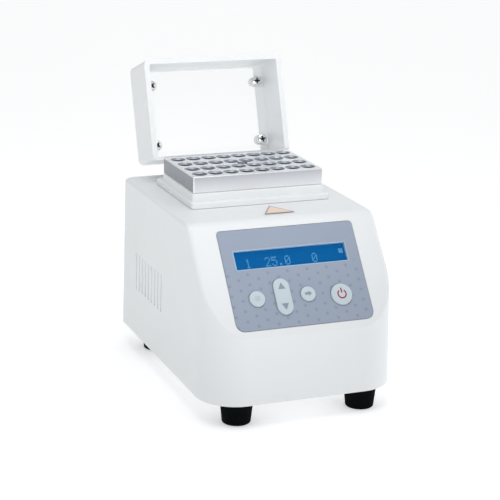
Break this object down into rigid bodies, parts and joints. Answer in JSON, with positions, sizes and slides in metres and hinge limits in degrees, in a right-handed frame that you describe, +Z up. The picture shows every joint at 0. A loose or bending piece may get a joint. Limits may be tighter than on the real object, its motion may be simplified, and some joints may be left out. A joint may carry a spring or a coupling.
{
  "type": "dry block heater",
  "caption": "Bench-top dry block heater: sloped panel with keys and display, drilled aluminium block for small tubes, hinged lid with clear window, rubber feet.",
  "frame": {"origin": "on the ground under the middle of the overall box, with the lid standing open", "axes": "+Z up, -Y towards the user and the sloped control panel, +X to the user's right and along the lid's hinge"},
  "size_m": [0.1074, 0.1768, 0.1658],
  "materials": {
    "white_abs": "fine moulded texture, satin",
    "black_rubber": "moulded rubber, matt",
    "aluminium": "bead blasted and machined",
    "steel": "zinc plated",
    "overlay_film": "printed polyester film",
    "key_rubber": "moulded silicone keys",
    "clear_acrylic": "clear, polished",
    "display_blue": "backlit display",
    "insulation": "felted insulation",
    "heater_silicone": "silicone heater mat",
    "circuit_board": "solder mask",
    "black_plastic": "moulded",
    "label_film": "printed film"
  },
  "bodies": {
    "base_unit": {"upper_housing": "white_abs", "base_plate": "white_abs", "block_surround": "white_abs", "foot_front_left": "black_rubber", "foot_front_right": "black_rubber", "foot_rear_left": "black_rubber", "foot_rear_right": "black_rubber", "heating_block": "aluminium", "heater_plate": "aluminium", "transistor_heat_sink": "aluminium", "foot_screw_front_left": "steel", "foot_screw_front_right": "steel", "foot_screw_rear_left": "steel", "foot_screw_rear_right": "steel", "board_screw_front_left": "steel", "board_screw_front_right": "steel", "board_screw_rear_left": "steel", "board_screw_rear_right": "steel", "support_post_front_left": "steel", "support_post_front_right": "steel", "support_post_rear_left": "steel", "support_post_rear_right": "steel", "display_screw_1": "steel", "display_screw_2": "steel", "display_screw_3": "steel", "display_screw_4": "steel", "block_screw": "steel", "support_plate": "steel", "hinge_pin_left": "steel", "hinge_pin_right": "steel", "temperature_probe": "steel", "dc_inlet_nut": "steel", "keypad_overlay": "overlay_film", "display_window": "clear_acrylic", "lcd_module": "display_blue", "insulation_pad": "insulation", "insulation_collar": "insulation", "heater_mat": "heater_silicone", "main_board": "circuit_board", "display_board": "circuit_board", "thermal_cutout": "black_plastic", "filter_capacitor": "black_plastic", "power_transistor": "black_plastic", "dc_inlet": "black_plastic", "switch_left": "black_plastic", "switch_up": "black_plastic", "switch_down": "black_plastic", "switch_enter": "black_plastic", "switch_power": "black_plastic", "hot_surface_label": "label_film"},
    "lid": {"lid_shell": "white_abs", "lid_window": "clear_acrylic", "lid_screw_front_left": "steel", "lid_screw_front_right": "steel", "lid_screw_rear_left": "steel", "lid_screw_rear_right": "steel"},
    "left_key": {"key_left": "key_rubber"},
    "up_down_key": {"key_up_down": "key_rubber"},
    "enter_key": {"key_enter": "key_rubber"},
    "power_key": {"key_power": "key_rubber"}
  },
  "joints": [
    {"name": "lid_hinge", "type": "hinge", "parent": "base_unit", "child": "lid", "pos_m": [0, 0.0418, 0.106], "axis": [1, 0, 0], "range_deg": [0, 108.4]},
    {"name": "left_key_press", "type": "slide", "parent": "base_unit", "child": "left_key", "axis": [0, 0.7921, -0.6104], "range_m": [0, 0.0006], "stiffness_N_per_m": 400},
    {"name": "enter_key_press", "type": "slide", "parent": "base_unit", "child": "enter_key", "axis": [0, 0.7921, -0.6104], "range_m": [0, 0.0006], "stiffness_N_per_m": 400},
    {"name": "power_key_press", "type": "slide", "parent": "base_unit", "child": "power_key", "axis": [0, 0.7921, -0.6104], "range_m": [0, 0.0006], "stiffness_N_per_m": 400},
    {"name": "up_down_key_rock", "type": "hinge", "parent": "base_unit", "child": "up_down_key", "pos_m": [-0.00975, -0.07334, 0.06262], "axis": [1, 0, 0], "range_deg": [-2.5, 2.5], "stiffness_Nm_per_rad": 0.02}
  ]
}
